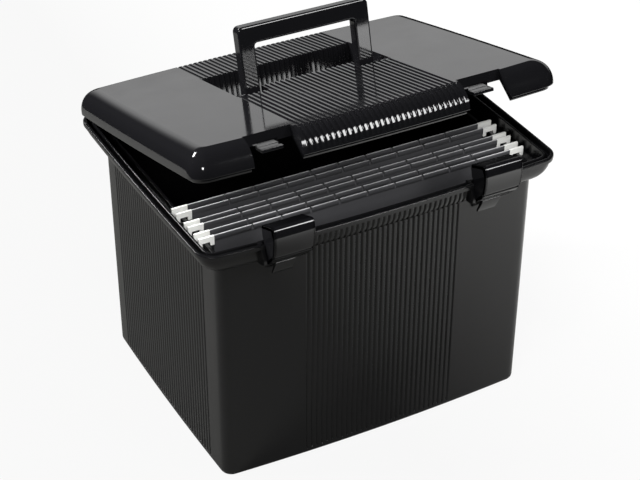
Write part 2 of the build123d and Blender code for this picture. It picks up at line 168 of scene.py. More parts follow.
def makeSoftbox(name, place, aim, width, height, power, inGloss):
    data = bpy.data.lights.new(name, "AREA")
    data.shape = "RECTANGLE"
    data.size = width / 1000
    data.size_y = height / 1000
    data.energy = power
    lamp = bpy.data.objects.new(name, data)
    bpy.context.collection.objects.link(lamp)
    lamp.location = Vector(place) / 1000
    pointAt(lamp, Vector(aim) / 1000)
    lamp.visible_glossy = inGloss


def makeFloor(settings):
    # A pale floor that keeps a faint shadow and reads as white; the paint that gloss and bounced light see
    # is painted shade towards the left and painted light towards the right.
    angle = np.linspace(0, 2 * np.pi, settings["floorSides"], endpoint=False)
    edge = np.stack([np.cos(angle), np.sin(angle), 0 * angle], -1) * settings["floorRadius"] / 1000
    mesh = bpy.data.meshes.new("studioFloor")
    mesh.from_pydata(edge.tolist(), [], [list(range(len(edge)))])
    floor = bpy.data.objects.new("studioFloor", mesh)
    bpy.context.collection.objects.link(floor)
    material = bpy.data.materials.new("floorWithPaintedLight")
    tree = newTree(material)
    path = addNode(tree, "ShaderNodeLightPath")
    where = addNode(tree, "ShaderNodeTexCoord")
    split = addNode(tree, "ShaderNodeSeparateXYZ", {}, {0: where.outputs["Object"]})
    # painted light and shade: across X the floor's paint turns from the dark tone to the pale one
    low, high = settings["floorLightFade"]
    pale = addNode(tree, "ShaderNodeMapRange", {"From Min": low / 1000, "From Max": high / 1000},
                   {"Value": split.outputs["X"]})
    tone = addNode(tree, "ShaderNodeMix", {"data_type": "RGBA", 6: toLinear(settings["floorShadeColour"]),
                                           7: toLinear(settings["floorLightColour"])}, {0: pale.outputs[0]})
    paint = addNode(tree, "ShaderNodeBsdfDiffuse", {}, {"Color": tone.outputs[2]})
    glow = addNode(tree, "ShaderNodeEmission", {"Color": (1, 1, 1, 1), "Strength": 1.0})
    share = addNode(tree, "ShaderNodeMath", {"operation": "MULTIPLY", 1: settings["floorGlow"]},
                    {0: path.outputs["Is Camera Ray"]})
    both = addNode(tree, "ShaderNodeMixShader", {},
                   {0: share.outputs[0], 1: paint.outputs[0], 2: glow.outputs[0]})
    addNode(tree, "ShaderNodeOutputMaterial", {}, {"Surface": both.outputs[0]})
    mesh.materials.append(material)


makeWorld(studio)
for softbox in softboxes:
    makeSoftbox(*softbox)
makeFloor(studio)
print("studio lit")


bumpHeight = {"ripple": 0.001, "grain": 0.0002}     # metres


def mouldedPlastic(name, look):
    # Injection-moulded plastic. look gives its colour, roughness and the size of its texture in mm:
    # slow ripples from cooling bend the reflections, and a fine grain breaks them up.
    material = bpy.data.materials.new(name)
    tree = newTree(material)
    where = addNode(tree, "ShaderNodeTexCoord")
    ripple = addNode(tree, "ShaderNodeTexNoise", {"Scale": 1000 / look["ripple"], "Detail": 1.0},
                     {"Vector": where.outputs["Object"]})
    grain = addNode(tree, "ShaderNodeTexNoise", {"Scale": 1000 / look["grain"], "Detail": 2.0},
                    {"Vector": where.outputs["Object"]})
    wave = addNode(tree, "ShaderNodeBump",
                   {"Strength": look["rippleDepth"], "Distance": bumpHeight["ripple"]},
                   {"Height": ripple.outputs[0]})
    skin = addNode(tree, "ShaderNodeBump",
                   {"Strength": look["grainDepth"], "Distance": bumpHeight["grain"]},
                   {"Height": grain.outputs[0], "Normal": wave.outputs[0]})
    dull = addNode(tree, "ShaderNodeMapRange", {"To Min": look["rough"][0], "To Max": look["rough"][1]},
                   {"Value": ripple.outputs[0]})
    tint = addNode(tree, "ShaderNodeMix", {"data_type": "RGBA", 6: toLinear(look["colour"]),
                                           7: toLinear(look["shade"])}, {0: grain.outputs[0]})
    shader = addNode(tree, "ShaderNodeBsdfPrincipled", {"IOR": look["ior"]},
                     {"Base Color": tint.outputs[2], "Roughness": dull.outputs[0],
                      "Normal": skin.outputs[0]})
    addNode(tree, "ShaderNodeOutputMaterial", {}, {"Surface": shader.outputs[0]})
    return material


# High-impact polystyrene from a polished mould: deep black with a wet, mirror-like gloss.
glossLook = {"colour": "#0b0b0c", "shade": "#111113", "ripple": 26, "grain": 0.5, "rippleDepth": 0.03,
             "grainDepth": 0.01, "rough": (0.05, 0.12), "ior": 1.59}
# Polypropylene from a lightly etched mould: soft black with a broad satin sheen.
satinLook = {"colour": "#09090a", "shade": "#0f0f10", "ripple": 40, "grain": 0.6, "rippleDepth": 0.04,
             "grainDepth": 0.12, "rough": (0.2, 0.28), "ior": 1.49}
# Nylon, moulded white: bright with a soft gloss.
hookLook = {"colour": "#f2f2ef", "shade": "#e6e6e2", "ripple": 9, "grain": 0.5, "rippleDepth": 0.05,
            "grainDepth": 0.05, "rough": (0.2, 0.3), "ior": 1.53}
# Card stock pressed from dyed fibres: matt dark grey with a faint fibre mottle.
cardLook = {"colour": "#3b3b3d", "shade": "#454548", "ripple": 14, "grain": 0.8, "rippleDepth": 0.2,
            "grainDepth": 0.5, "rough": (0.75, 0.9), "ior": 1.5}

# The heights in mm between which the card turns from its own colour to the paler one: a painted highlight
# along the tops of the hems.
foldHighlightLook = {"colour": "#b4b4b6", "from": 246.1, "to": 246.42}


def paintedFoldHighlight(material, look):
    # Painted highlight: along the tops of the hems, where the card is bent over its rod, the colour is
    # mixed towards a paler one to stand for light caught on the top edges.
    tree = material.node_tree
    shader = next(node for node in tree.nodes if node.type == "BSDF_PRINCIPLED")
    where = addNode(tree, "ShaderNodeTexCoord")
    split = addNode(tree, "ShaderNodeSeparateXYZ", {}, {0: where.outputs["Object"]})
    # mask of the painted highlight: 0 below the band's foot, 1 above its top
    highlightBand = addNode(tree, "ShaderNodeMapRange",
                     {"From Min": look["from"] / 1000, "From Max": look["to"] / 1000},
                     {"Value": split.outputs["Z"]})
    source = shader.inputs["Base Color"].links[0].from_socket
    mixed = addNode(tree, "ShaderNodeMix", {"data_type": "RGBA", 7: toLinear(look["colour"])},
                    {0: highlightBand.outputs[0], 6: source})
    tree.links.new(mixed.outputs[2], shader.inputs["Base Color"])


glossPolystyrene = mouldedPlastic("glossPolystyrene", glossLook)
satinPolypropylene = mouldedPlastic("satinPolypropylene", satinLook)
whiteNylon = mouldedPlastic("whiteNylon", hookLook)
dyedCard = mouldedPlastic("dyedCard", cardLook)
# the tops of the hems get a painted highlight
paintedFoldHighlight(dyedCard, foldHighlightLook)


def drawnSteel(name, look):
    # Zinc-plated steel, drawn and cut: a grey metal with a fine lengthwise haze.
    material = bpy.data.materials.new(name)
    tree = newTree(material)
    where = addNode(tree, "ShaderNodeTexCoord")
    stretch = addNode(tree, "ShaderNodeMapping", {"Scale": look["stretch"]},
                      {"Vector": where.outputs["Object"]})
    haze = addNode(tree, "ShaderNodeTexNoise", {"Scale": 1000 / look["haze"]},
                   {"Vector": stretch.outputs[0]})
    dull = addNode(tree, "ShaderNodeMapRange", {"To Min": look["rough"][0], "To Max": look["rough"][1]},
                   {"Value": haze.outputs[0]})
    shader = addNode(tree, "ShaderNodeBsdfPrincipled",
                     {"Base Color": toLinear(look["colour"]), "Metallic": 1.0},
                     {"Roughness": dull.outputs[0]})
    addNode(tree, "ShaderNodeOutputMaterial", {}, {"Surface": shader.outputs[0]})
    return material


steelLook = {"colour": "#b4b6b8", "haze": 6.0, "rough": (0.25, 0.4), "stretch": (1.0, 12.0, 12.0)}
platedSteel = drawnSteel("platedSteel", steelLook)


def finishNode(node, material):
    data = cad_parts[node].data
    data.materials.clear()
    data.materials.append(material)


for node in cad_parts:
    if node == "tub":
        finish = satinPolypropylene
    elif node in ("lid", "handle") or node.startswith("latch"):
        finish = glossPolystyrene
    elif node.endswith("sleeve"):
        finish = dyedCard
    elif node.endswith("hooks"):
        finish = whiteNylon
    else:
        finish = platedSteel
    finishNode(node, finish)
print("finishes made")


def outlineGrid(rows, front, side, cornerSteps):
    # Every row is a rounded rectangle: width, depth, side bow, front bow and corner radius. A bowed side
    # is an arc through its middle and ends, and the corner circle touches both arcs from inside. front and
    # side hold each column's fixed place and its share of what is left between that place and the corner.
    # Gives x and y by row and column, going round from the front left corner, and each column's side share.
    width, depth, sideBow, frontBow, corner = (column[:, None] for column in np.asarray(rows, float).T)
    halfFront, halfSide = width / 2 - sideBow, depth / 2 - frontBow
    frontRadius = (halfFront ** 2 + frontBow ** 2) / (2 * frontBow)
    sideRadius = (halfSide ** 2 + sideBow ** 2) / (2 * sideBow)
    frontMiddle, sideMiddle = frontRadius - depth / 2, width / 2 - sideRadius
    apart = np.hypot(sideMiddle, frontMiddle)
    reach = frontRadius - corner
    along = (reach ** 2 - (sideRadius - corner) ** 2 + apart ** 2) / (2 * apart)
    stepX, stepY = sideMiddle / apart, -frontMiddle / apart
    away = np.sqrt(reach ** 2 - along ** 2)
    centreX = stepX * along - stepY * away
    centreY = frontMiddle + stepY * along + stepX * away
    startAngle = np.arctan2(centreY - frontMiddle, centreX)
    endAngle = np.arctan2(centreY, centreX - sideMiddle)
    tangentX = frontRadius * np.cos(startAngle)
    tangentY = -sideRadius * np.sin(endAngle)

    def place(stations, tangent):
        fixed, share = np.asarray(stations, float).T
        return fixed + share * (tangent - np.abs(fixed))

    frontX = place(front, tangentX)
    frontY = frontMiddle - np.sqrt(frontRadius ** 2 - frontX ** 2)
    sideY = place(side, tangentY)
    sideX = sideMiddle + np.sqrt(sideRadius ** 2 - sideY ** 2)
    angle = startAngle + (endAngle - startAngle) * np.linspace(0, 1, cornerSteps + 1)[1:-1]
    turnX, turnY = centreX + corner * np.cos(angle), centreY + corner * np.sin(angle)
    x = np.hstack([frontX, turnX, sideX, turnX[:, ::-1], frontX[:, ::-1], -turnX, -sideX[:, ::-1],
                   -turnX[:, ::-1]])
    y = np.hstack([frontY, turnY, sideY, -turnY[:, ::-1], -frontY[:, ::-1], -turnY, sideY[:, ::-1],
                   turnY[:, ::-1]])
    turnShare = np.linspace(0, 1, cornerSteps + 1)[1:-1]
    zero, one = np.zeros(len(front)), np.ones(len(side))
    sideShare = np.hstack([zero, turnShare, one, turnShare[::-1], zero, turnShare, one, turnShare[::-1]])
    return x, y, sideShare


def ribStations(low, high, pitch, offsets):
    # Columns across a row of ribs: the middle of each land, and the edges and floor of each groove.
    count = round((high - low) / pitch)
    step = (high - low) / count
    centres = low + step * (np.arange(count) + 0.5)
    inner = (centres[:, None] + np.array(offsets)[None, :]).ravel()
    return np.sort(np.hstack([inner, low + step * np.arange(count + 1)])), centres


def grooveShape(place, centres, halfWidth, edge):
    # 1 on a groove's floor and 0 on the lands, with a smooth step of the edge's width between.
    away = np.abs(np.asarray(place)[..., None] - centres).min(axis=-1)
    rise = np.clip((halfWidth + edge / 2 - away) / edge, 0, 1)
    return rise * rise * (3 - 2 * rise)


def ringFaces(rows, columns, start=0):
    # Quads between neighbouring rows of a closed ring, facing outward when rows climb the outside.
    row, column = np.meshgrid(np.arange(rows - 1), np.arange(columns), indexing="ij")
    after = (column + 1) % columns
    quads = np.stack([row * columns + column, row * columns + after,
                      (row + 1) * columns + after, (row + 1) * columns + column], -1)
    return quads.reshape(-1, 4) + start


def fanFaces(ring, centre, flip=False):
    # Triangles from one ring of vertices to a middle vertex.
    after = np.roll(ring, -1)
    order = (ring, after) if flip else (after, ring)
    return np.stack([*order, np.full(len(ring), centre)], -1)


def prismPart(profile, low, high):
    # A closed prism along X: the profile is (y, z) points, anticlockwise seen from the left (-X).
    profile = np.asarray(profile, float)
    area = np.sum(profile[:, 0] * np.roll(profile[:, 1], -1)
                  - np.roll(profile[:, 0], -1) * profile[:, 1])
    if area < 0:
        profile = profile[::-1]
    count = len(profile)
    ends = [np.column_stack([np.full(count, x), profile]) for x in (low, high)]
    index = np.arange(count)
    after = (index + 1) % count
    sides = np.stack([index, index + count, after + count, after], -1)
    return np.vstack(ends), [*sides[:, ::-1].tolist(), index[::-1].tolist(), (index + count).tolist()]


def pipePart(y, z, outer, inner, low, high, steps=28):
    # A closed pipe along X, its bore as round as its outside.
    angle = np.linspace(0, 2 * np.pi, steps, endpoint=False)
    points = np.vstack([np.stack([np.full(steps, x), y + radius * np.cos(angle),
                                  z + radius * np.sin(angle)], -1)
                        for radius, x in ((outer, low), (outer, high), (inner, high), (inner, low))])
    row, column = np.meshgrid(np.arange(4), np.arange(steps), indexing="ij")
    after, above = (column + 1) % steps, (row + 1) % 4
    faces = np.stack([row * steps + column, row * steps + after, above * steps + after,
                      above * steps + column], -1)
    return points, faces.reshape(-1, 4).tolist()


def uprightPart(section, low, high):
    # A closed prism along Z: the section is (x, y) points.
    points, faces = prismPart(section, low, high)
    return points[:, [1, 2, 0]], faces


def alongDepth(part):
    # Turns a part drawn along X so that it runs along Y instead.
    points, faces = part
    return points[:, [1, 0, 2]], [list(face)[::-1] for face in faces]


def openedPart(part):
    return opened(part[0]), part[1]


def smoothCurve(points, steps):
    # A Catmull-Rom curve through the points, with the given number of steps between neighbours.
    points = np.asarray(points, float)
    ends = np.vstack([2 * points[0] - points[1], points, 2 * points[-1] - points[-2]])
    share = np.linspace(0, 1, steps, endpoint=False)[None, :, None]
    a, b, c, d = (ends[i:i + len(points) - 1, None, :] for i in range(4))
    curve = 0.5 * (2 * b + (c - a) * share + (2 * a - 5 * b + 4 * c - d) * share ** 2
                   + (3 * b - a - 3 * c + d) * share ** 3)
    return [*map(tuple, curve.reshape(-1, 2).tolist()), tuple(points[-1].tolist())]


def mirroredPart(part):
    # The same part on the other side of the middle plane.
    points, faces = part
    return points * (-1, 1, 1), [list(face)[::-1] for face in faces]


def bothSides(parts):
    return parts + [mirroredPart(part) for part in parts]


def circlePoints(y, z, radius, start, end, steps):
    angle = np.radians(np.linspace(start, end, steps))
    return list(zip((y + radius * np.cos(angle)).tolist(), (z + radius * np.sin(angle)).tolist()))


def makePiece(name, parts, material, body, node, bevel=0.0, sharp=50):
    # Joins the parts (points in mm, faces) into one piece that rides on a body and stands for a node.
    points, faces, start = [], [], 0
    for partPoints, partFaces in parts:
        points.append(np.asarray(partPoints, float) / 1000)
        faces += [[int(i) + start for i in face] for face in partFaces]
        start += len(partPoints)
    mesh = bpy.data.meshes.new(name)
    mesh.from_pydata(np.vstack(points).tolist(), [], faces)
    mesh.validate()
    mesh.shade_smooth()
    mesh.set_sharp_from_angle(angle=math.radians(sharp))
    mesh.materials.append(material)
    piece = bpy.data.objects.new(name, mesh)
    bpy.context.collection.objects.link(piece)
    if bevel:
        rounding = piece.modifiers.new("rounding", "BEVEL")
        rounding.width = bevel / 1000
        rounding.segments = 2
        rounding.limit_method = "ANGLE"
        rounding.harden_normals = True
    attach(piece, body)
    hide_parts(node)
    return piece


wallLook = {
    "base": (316.0, 254.5, 2.0, 5.0, 11.0),      # width, depth, side bow, front bow, corner radius
    "top": (318.5, 257.0, 2.0, 5.0, 11.0),
    "height": 230.0, "footRadius": 4.0, "thickness": 2.5, "floor": 3.0,
}
rimLook = {
    "outline": (355.6, 282.6, 1.5, 6.5, 17.0), "height": 252.4, "flareTop": 248.0, "overhang": 2.5,
    "lip": 3.2, "groove": 4.4, "ridge": 2.0, "ridgeTop": 250.9,
}
ribLook = {
    "pitch": 5.17, "halfGroove": 1.3, "roundHalf": 0.75, "edge": 1.2, "depth": 1.2,
    "band": 77.5, "foot": 6.0, "sideFront": -94.0, "sideBack": 99.0, "sideTop": 227.0,
}
recessLook = {"low": 82.5, "high": 121.5, "back": -132.4, "floor": 233.0}


def insetRow(values, distance):
    width, depth, sideBow, frontBow, corner = values
    return np.array([width - 2 * distance, depth - 2 * distance, sideBow, frontBow, corner - distance])


def blendRow(first, second, share):
    return np.asarray(first) + (np.asarray(second) - np.asarray(first)) * share


def tubRows():
    # The tub's section from the middle of its base, up the outside, over the lip and down the inside:
    # the flare and the trough inside it are quarter ellipses. Gives outline, height, how deep the ribs
    # of the band and of the ends are there, and whether the height follows the trough instead.
    base, top, rim = (np.array(look) for look in (wallLook["base"], wallLook["top"], rimLook["outline"]))
    wallTop, flareTop = wallLook["height"], rimLook["flareTop"]
    flare = insetRow(rim, rimLook["overhang"])
    rows = []

    def add(values, height, band=0.0, ends=0.0, trough=False):
        rows.append((values, height, band, ends, trough))

    def wallAt(height):
        return blendRow(base, top, height / wallTop)

    radius = wallLook["footRadius"]
    for turn in np.linspace(0, math.pi / 2, 5):
        add(insetRow(wallAt(0), radius * (1 - math.sin(turn))), radius * (1 - math.cos(turn)))
    foot = ribLook["foot"]
    for height, band, ends in ((foot - 0.3, 0, 0), (foot, 0.1, 0.1), (foot + 0.5, 1, 1), (60, 1, 1),
                               (115, 1, 1), (170, 1, 1), (ribLook["sideTop"] - 0.5, 1, 1),
                               (ribLook["sideTop"], 1, 0.1),
                               (ribLook["sideTop"] + 0.3, 1, 0), (wallTop, 1, 0)):
        add(wallAt(height), height, band, ends)
    rise = flareTop - wallTop
    turns = np.radians([9, 18, 27, 33.5, 33.6, 42, 50, 58, 66, 74, 82, 89])
    for turn in turns:
        add(blendRow(top, flare, math.sin(turn)), wallTop + rise * (1 - math.cos(turn)), 1)
    add(flare, flareTop)
    high = rimLook["height"]
    for inset, height in ((0.5, flareTop), (0.1, flareTop + 0.1), (0, flareTop + 0.6), (0, high - 0.9),
                          (0.15, high - 0.35), (0.5, high - 0.05), (1.0, high), (2.3, high),
                          (2.8, high - 0.05),
                          (3.1, high - 0.35), (3.2, high - 0.9), (3.2, flareTop), (5.0, flareTop)):
        add(insetRow(rim, inset), height)
    ridgeOut = rimLook["lip"] + rimLook["groove"]
    ridgeIn = ridgeOut + rimLook["ridge"]
    ridgeTop = rimLook["ridgeTop"]
    for inset in (5.1, 5.8, 6.7, ridgeOut):
        add(insetRow(rim, inset), 0, trough=True)
    for inset, height in ((0, -0.6), (0.12, -0.2), (0.45, 0), (1.55, 0), (1.88, -0.2), (2.0, -0.6)):
        add(insetRow(rim, ridgeOut + inset), ridgeTop + height)
    wallInside = insetRow(top, wallLook["thickness"])
    for share in (1.0, 0.8, 0.6, 0.4, 0.2, 0.0):
        add(blendRow(wallInside, insetRow(rim, ridgeIn), share), 0, trough=True)
    floor, inside = wallLook["floor"], 3.0
    for height in (150, 60, floor + inside):
        add(insetRow(wallAt(height), wallLook["thickness"]), height)
    for turn in np.linspace(0, math.pi / 2, 4)[1:]:
        add(insetRow(wallAt(floor), wallLook["thickness"] + inside * (1 - math.cos(turn))),
            floor + inside * (1 - math.sin(turn)))
    return rows


def troughHeight(rows, sideShare):
    # Height of the quarter-ellipse trough inside the flare, at each column of each row.
    low, high = wallLook["height"] + wallLook["thickness"], rimLook["flareTop"]
    start = insetRow(wallLook["top"], wallLook["thickness"])
    end = insetRow(rimLook["outline"], rimLook["overhang"] + wallLook["thickness"])
    share = (rows[:, :2] - start[:2]) / (end[:2] - start[:2])
    across, along = np.clip(share[:, :1], 0, 1), np.clip(share[:, 1:], 0, 1)
    reach = along + (across - along) * sideShare
    return low + (high - low) * (1 - np.sqrt(1 - reach ** 2))


def frontStations(offsets, between, edge=127.0, shares=(0.25, 0.5, 0.75, 1.0)):
    # Columns of a front: ribs on the band, chosen places outside it, then shares of the way to the corner.
    band = ribLook["band"]
    ribs, centres = ribStations(-band, band, ribLook["pitch"], offsets)
    outside = [(x, 0) for x in (*between, edge)] + [(edge, share) for share in shares]
    return [(-x, -share) for x, share in reversed(outside)] + [(x, 0) for x in ribs] + outside, centres


def makeTub():
    rows = tubRows()
    values = np.array([row[0] for row in rows])
    offsets = (-1.9, -1.4, -1.1, -0.75, -0.4, 0, 0.4, 0.75, 1.1, 1.4, 1.9)
    front, bandCentres = frontStations(offsets,
                                       (79.5, 82.49, 82.51, 92, 102, 112, 121.49, 121.51, 124.5))
    ribs, endCentres = ribStations(ribLook["sideFront"], ribLook["sideBack"], ribLook["pitch"], offsets)
    side = [(-97, -share) for share in (1, 0.6, 0.3)] + [(-97, 0)] + [(y, 0) for y in ribs]
    side += [(102, 0)] + [(102, share) for share in (0.4, 1)]
    x, y, sideShare = outlineGrid(values, front, side, 9)
    z = np.repeat(np.array([row[1] for row in rows], float)[:, None], x.shape[1], 1)
    trough = np.array([row[4] for row in rows])
    z[trough] = troughHeight(values, sideShare)[trough]

    # ribs: each groove is sunk along the section's own normal
    out, height = values[:, 1] / 2, np.array([row[1] for row in rows])
    climb, lean = np.gradient(height), np.gradient(out)
    length = np.hypot(climb, lean) + 1e-9
    normalOut, normalUp = (climb / length)[:, None], (-lean / length)[:, None]
    band = np.array([row[2] for row in rows])[:, None] * ribLook["depth"]
    ends = np.array([row[3] for row in rows])[:, None] * ribLook["depth"]
    onFront = (sideShare == 0) & (np.abs(x).max(0) < ribLook["band"])
    sunk = band * grooveShape(x, bandCentres, ribLook["roundHalf"], ribLook["edge"]) * onFront
    y += np.where(y < 0, 1, -1) * sunk * normalOut
    z -= sunk * normalUp
    onEnd = (sideShare == 1) & (y.min(0) > ribLook["sideFront"]) & (y.max(0) < ribLook["sideBack"])
    x -= np.sign(x) * ends * grooveShape(y, endCentres, ribLook["roundHalf"], ribLook["edge"]) * onEnd

    # latch recesses: the front is cut back to a plain wall that stands as high as the rim
    inRecess = (y < 0) & (np.abs(x) > recessLook["low"]) & (np.abs(x) < recessLook["high"])
    inRecess &= (sideShare == 0) & (z > recessLook["floor"] - 0.01)
    wallFront, wallBack = recessLook["back"], recessLook["back"] + wallLook["thickness"]
    lipStart = [row[1] for row in rows].index(rimLook["flareTop"])
    overLip = np.arange(len(rows))[:, None] >= lipStart
    z = np.where(inRecess & overLip & (y < wallBack), rimLook["height"], z)
    y = np.where(inRecess, np.maximum(y, wallFront), y)

    columns = x.shape[1]
    grid = np.stack([x, y, z], -1).reshape(-1, 3)
    count = len(grid)
    grid = np.vstack([grid, [[0, 0, 0], [0, 0, wallLook["floor"]]]])
    faces = ringFaces(len(rows), columns).tolist()
    faces += fanFaces(np.arange(columns), count).tolist()
    faces += fanFaces(np.arange(count - columns, count), count + 1, flip=True).tolist()
    makePiece("tubShell", [(grid, faces)], satinPolypropylene, "tub", "tub", sharp=42)


makeTub()


fittingLook = {
    "rail": ((154.45, 241.0), (157.45, 241.0), (157.45, 220.5), (154.45, 223.5)), "railReach": 112.0,
    "lug": ((-129.9, 252.4), (-139.1, 252.4), (-139.1, 248.0), (-143.1, 240.3), (-143.1, 235.7),
            (-138.5, 233.4), (-129.9, 231.75)),
    "lugs": (79.5, 82.5, 121.5, 124.5), "bar": (-138.5, 238.0, 2.5),
    "hingeLug": ((136.7, 252.2), (141.2, 252.2), (145.1, 253.2), (143.8, 250.9), (143.4, 249.0),
                 (144.2, 246.9), (146.0, 246.3), (149.0, 246.0), (136.0, 235.5), (134.5, 237.5)),
    "pin": (146.0, 249.0, 4.3, 1.65),            # y, z, outer radius, bore
    "knuckles": (80.7, 111.3), "knuckleWide": 8,
}


def makeTubFittings():
    # Rails for the folders, lugs and bars for the latches, and the hinge's outer knuckles.
    look = fittingLook
    firstLow, firstHigh, lastLow, lastHigh = look["lugs"]
    y, z, radius = look["bar"]
    parts = [alongDepth(prismPart(look["rail"], -look["railReach"], look["railReach"])),
             prismPart(look["lug"], firstLow, firstHigh), prismPart(look["lug"], lastLow, lastHigh),
             prismPart(circlePoints(y, z, radius, 0, 345, 24), firstHigh - 1, lastLow + 1)]
    for low in look["knuckles"]:
        high = low + look["knuckleWide"]
        parts += [prismPart(look["hingeLug"], low, high), pipePart(*look["pin"], low, high)]
    makePiece("tubFittings", bothSides(parts), satinPolypropylene, "tub", "tub",
              bevel=0.35)


makeTubFittings()
print("tub made")


lidLook = {
    "bottom": 252.6, "top": 275.0, "skirt": 2.5, "sideRoll": 18.0, "frontRoll": 16.0, "topCorner": 6.0,
    "thickness": 2.5, "grooveFoot": 1.4, "tongueOut": 4.4, "tongueThickness": 2.0, "tongueDepth": 4.0,
    "grooveEdge": 0.9, "rollEdge": 1.4,
}
pitLook = {"half": 77.5, "front": -12.5, "back": 70.0, "depth": 18.0, "tongueHalf": 46.0,
           "tongueBack": 4.9}
notchLook = {"low": 80.0, "high": 124.0, "back": -119.0, "foot": 264.8, "lug": 1.1}
hingeLook = {"y": 146.0, "z": 249.0, "open": 14.2}       # degrees that the lid stands open


def opened(points):
    # Turns points drawn on the closed lid about the hinge, to where the lid stands ajar.
    points = np.array(points, float)
    angle = math.radians(hingeLook["open"])
    y, z = points[:, 1] - hingeLook["y"], points[:, 2] - hingeLook["z"]
    points[:, 1] = hingeLook["y"] + y * math.cos(angle) + z * math.sin(angle)
    points[:, 2] = hingeLook["z"] - y * math.sin(angle) + z * math.cos(angle)
    return points


def rollRow(share, inset):
    # One level of the lid's rolls: the front and back follow an arc and the ends a quarter ellipse.
    rise = lidLook["top"] - lidLook["bottom"] - lidLook["skirt"]
    radius = (lidLook["frontRoll"] ** 2 + rise ** 2) / (2 * lidLook["frontRoll"])
    frontIn = radius - math.sqrt(radius ** 2 - (rise * share) ** 2)
    sideIn = lidLook["sideRoll"] * (1 - math.sqrt(1 - share ** 2))
    width, depth, sideBow, frontBow, corner = rimLook["outline"]
    corner -= (corner - lidLook["topCorner"]) * share ** 2 + inset
    values = np.array([width - 2 * (sideIn + inset), depth - 2 * (frontIn + inset), sideBow, frontBow,
                       corner])
    return values, lidLook["bottom"] + lidLook["skirt"] + (rise - inset) * share


def lidRows():
    # The lid's section from the edge of its flat top down the roll, round its foot with the seal
    # tongue, and up the inside. Gives outline, height, rib depth, how far down the notch wall the row
    # goes, and 0 outside, 1 on the foot and 2 inside.
    rim, bottom = np.array(rimLook["outline"]), lidLook["bottom"]
    rows = []
    values, height = rollRow(1, 0)
    rows.append((insetRow(values, 0.5), height, 1, 0.0, 0))
    turns = np.radians([90, 87, 81, 74, 67, 60, 53, 46, 39, 32, 24, 16, 8, 0])
    for turn in turns:
        values, height = rollRow(math.sin(turn), 0)
        rows.append((values, height, 1, 0.02 + 0.78 * (1 - turn / turns[0]), 0))
    foot = bottom + lidLook["grooveFoot"]
    for inset, height, depth, down in ((0, foot + 0.3, 1, 0.84), (0, foot, 0, 0.88),
                                       (0, bottom + 0.6, 0, 0.92),
                                       (0.15, bottom + 0.2, 0, 0.96), (0.6, bottom, 0, 1.0)):
        rows.append((insetRow(rim, inset), height, depth, down, 0))
    out, low = lidLook["tongueOut"], bottom - lidLook["tongueDepth"]
    inside = out + lidLook["tongueThickness"]
    footRows = ((out, bottom), (out, low + 0.5), (out + 0.15, low + 0.15), (out + 0.5, low),
                (inside - 0.5, low),
                (inside - 0.15, low + 0.15), (inside, low + 0.5), (inside, bottom + lidLook["skirt"]))
    for number, (inset, height) in enumerate(footRows):
        rows.append((insetRow(rim, inset), height, 0, (number + 1) / (len(footRows) + 1), 1))
    for turn in np.radians([0, 18, 36, 52, 66, 78, 90]):
        values, height = rollRow(math.sin(turn), lidLook["thickness"])
        rows.append((values, height, 0, turn / (math.pi / 2) * 0.98, 2))
    values, height = rollRow(1, lidLook["thickness"])
    rows.append((insetRow(values, 0.5), height, 0, 1.0, 2))
    return rows


def steppedPlate(x, y, low, highZ, lowZ, faceUp):
    # A level plate on the grid of x by y, with the cells named in low let down to lowZ and upright walls
    # between the two levels. Gives its points, faces and the numbers of the plate's grid vertices.
    shape = (len(x), len(y))
    across, along = np.meshgrid(x, y, indexing="ij")
    points = np.vstack([np.stack([across, along, highZ], -1).reshape(-1, 3),
                        np.stack([across, along, np.full(shape, lowZ)], -1).reshape(-1, 3)])
    top = np.arange(shape[0] * shape[1]).reshape(shape)
    under = top + top.size

    def cells(index, chosen):
        corners = [index[:-1, :-1], index[1:, :-1], index[1:, 1:], index[:-1, 1:]]
        return np.stack([corner[chosen] for corner in corners], -1)

    faces = [cells(top, ~low), cells(under, low)]
    turnX = low[1:, :].astype(int) - low[:-1, :]
    turnY = low[:, 1:].astype(int) - low[:, :-1]
    for change in (1, -1):
        i, j = np.nonzero(turnX == change)
        i = i + 1
        wall = np.stack([top[i, j], under[i, j], under[i, j + 1], top[i, j + 1]], -1)
        faces.append(wall if change == 1 else wall[:, ::-1])
        i, j = np.nonzero(turnY == change)
        j = j + 1
        wall = np.stack([top[i, j], top[i + 1, j], under[i + 1, j], under[i, j]], -1)
        faces.append(wall if change == 1 else wall[:, ::-1])
    faces = np.vstack(faces)
    return points, faces if faceUp else faces[:, ::-1], top


def stitchPlate(ring, plate, frontCount, sideCount, cornerCount, faceUp):
    # Joins a plate's edge to the ring round it: strips along the four sides and fans at the corners.
    faces = []
    starts = np.cumsum([0, frontCount, cornerCount, sideCount, cornerCount, frontCount, cornerCount,
                        sideCount])
    edges = [plate[:, 0], plate[-1, :], plate[::-1, -1], plate[0, ::-1]]
    for number, edge in enumerate(edges):
        begin = starts[2 * number]
        run = ring[begin:begin + len(edge)]
        faces += np.stack([run[:-1], run[1:], edge[1:], edge[:-1]], -1).tolist()
        last = begin + len(edge) - 1
        turn = ring[np.arange(last, last + cornerCount + 2) % len(ring)]
        faces += np.stack([turn[:-1], turn[1:], np.full(len(turn) - 1, edge[-1])], -1).tolist()
    return faces if faceUp else [face[::-1] for face in faces]


def inPit(x, y, half, front, back, tongueHalf, tongueBack):
    # Cells of the hand pit: a wide part behind the tongue and a pocket on each side of it.
    middleX, middleY = (x[1:] + x[:-1]) / 2, (y[1:] + y[:-1]) / 2
    wide = (np.abs(middleX) < half)[:, None] & ((middleY > tongueBack) & (middleY < back))[None, :]
    pocket = ((np.abs(middleX) < half) & (np.abs(middleX) > tongueHalf))[:, None]
    return wide | (pocket & ((middleY > front) & (middleY < tongueBack))[None, :])


